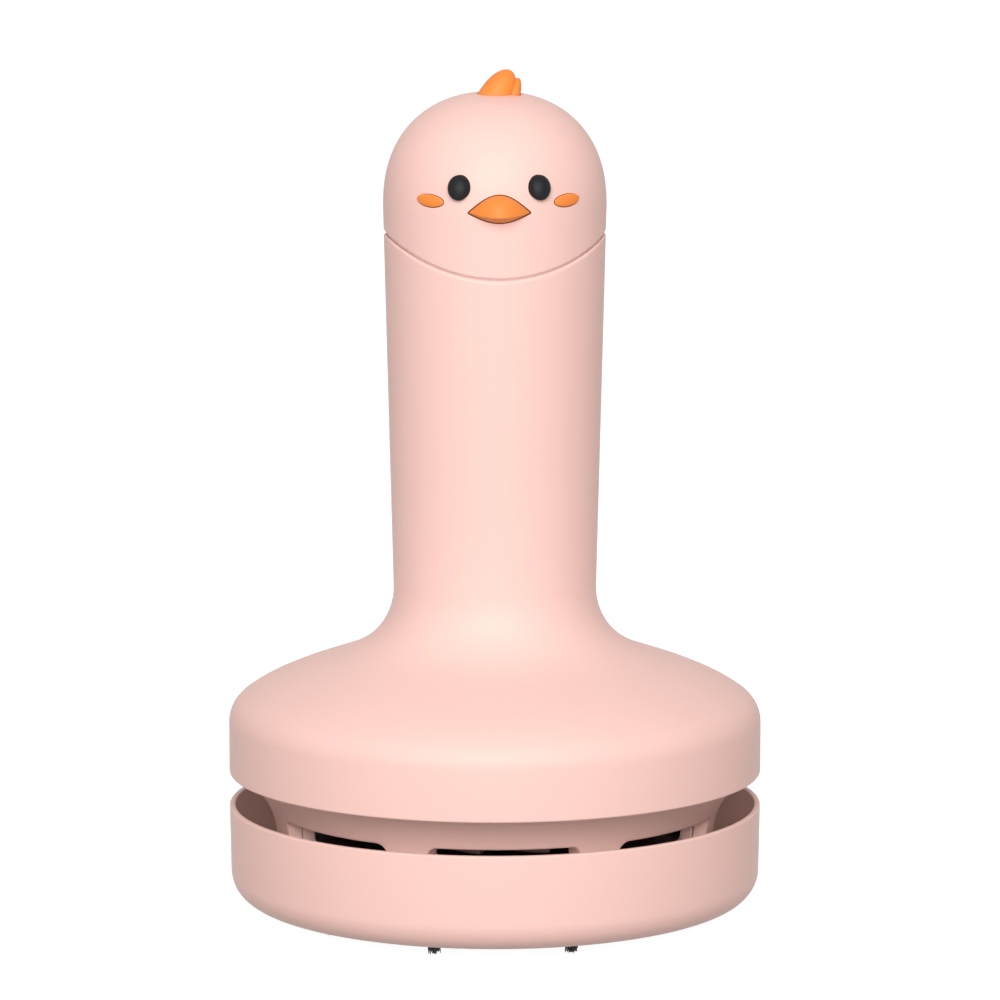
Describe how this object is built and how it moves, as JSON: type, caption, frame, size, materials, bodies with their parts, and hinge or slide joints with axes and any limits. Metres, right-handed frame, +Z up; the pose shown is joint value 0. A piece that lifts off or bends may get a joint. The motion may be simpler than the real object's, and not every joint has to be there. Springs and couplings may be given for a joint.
{
  "type": "desktop vacuum cleaner",
  "caption": "Small table-top vacuum cleaner with a round dust cup, an exhaust gap, a broad shoulder, a handle neck and a pull-off cap with a bird's face.",
  "frame": {"origin": "middle of the brush tufts' lower faces, on the table", "axes": "+Z up the neck, -Y towards the face, +X to the right as seen from the face's front"},
  "size_m": [0.09, 0.09, 0.1433],
  "materials": {
    "pink_plastic": "satin injection-moulded ABS, fine spark texture",
    "orange_plastic": "smooth moulded ABS",
    "eye_plastic": "polished black beads",
    "black_plastic": "moulded, fine texture",
    "white_plastic": "natural moulded ABS, inner part",
    "bristle": "nylon tufts",
    "seal_rubber": "moulded silicone lip",
    "filter_cloth": "pleated non-woven cloth",
    "steel": "drawn and plated",
    "copper": "enamelled wire and bare segments",
    "brass_contact": "stamped, nickel-flashed",
    "ferrite": "sintered magnet",
    "cell_sleeve": "printed sleeve without words"
  },
  "bodies": {
    "dust_cup": {"dust_cup": "pink_plastic", "cup_ring": "pink_plastic", "mouth_collar": "pink_plastic", "cup_seal": "seal_rubber", "brush_tufts": "bristle"},
    "housing": {"main_shell": "pink_plastic", "fan_housing": "pink_plastic", "diffuser_ring": "pink_plastic", "inlet_plate": "black_plastic", "inlet_screws": "steel", "filter_frame": "black_plastic", "filter_mesh": "filter_cloth", "housing_screws": "steel", "motor_can": "steel", "motor_bushes": "brass_contact", "motor_magnets": "ferrite", "motor_end_cap": "black_plastic", "motor_terminals": "brass_contact", "motor_screws": "steel", "battery_cradle": "white_plastic", "battery_left": "cell_sleeve", "battery_right": "cell_sleeve", "contact_spring": "brass_contact", "contact_plate": "brass_contact", "switch_body": "black_plastic"},
    "head": {"head_shell": "pink_plastic", "head_plug": "white_plastic", "bridge_contact": "brass_contact", "beak": "orange_plastic", "eye_left": "eye_plastic", "eye_right": "eye_plastic", "cheek_left": "orange_plastic", "cheek_right": "orange_plastic", "crest": "orange_plastic"},
    "impeller": {"impeller": "black_plastic", "motor_shaft": "steel", "motor_armature": "steel", "motor_windings": "copper", "commutator": "copper"},
    "switch_slider": {"switch_slider": "pink_plastic", "switch_lever": "black_plastic"}
  },
  "joints": [
    {"name": "housing_lift", "type": "slide", "parent": "dust_cup", "child": "housing", "axis": [0, 0, 1], "range_m": [0, 0.035]},
    {"name": "cap_pull", "type": "slide", "parent": "housing", "child": "head", "axis": [0, 0, 1], "range_m": [0, 0.03]},
    {"name": "impeller_spin", "type": "hinge", "parent": "housing", "child": "impeller", "pos_m": [0, 0, 0.0188], "axis": [0, 0, 1], "continuous": true},
    {"name": "switch_slide", "type": "slide", "parent": "housing", "child": "switch_slider", "axis": [0, 0, 1], "range_m": [0, 0.004]}
  ]
}
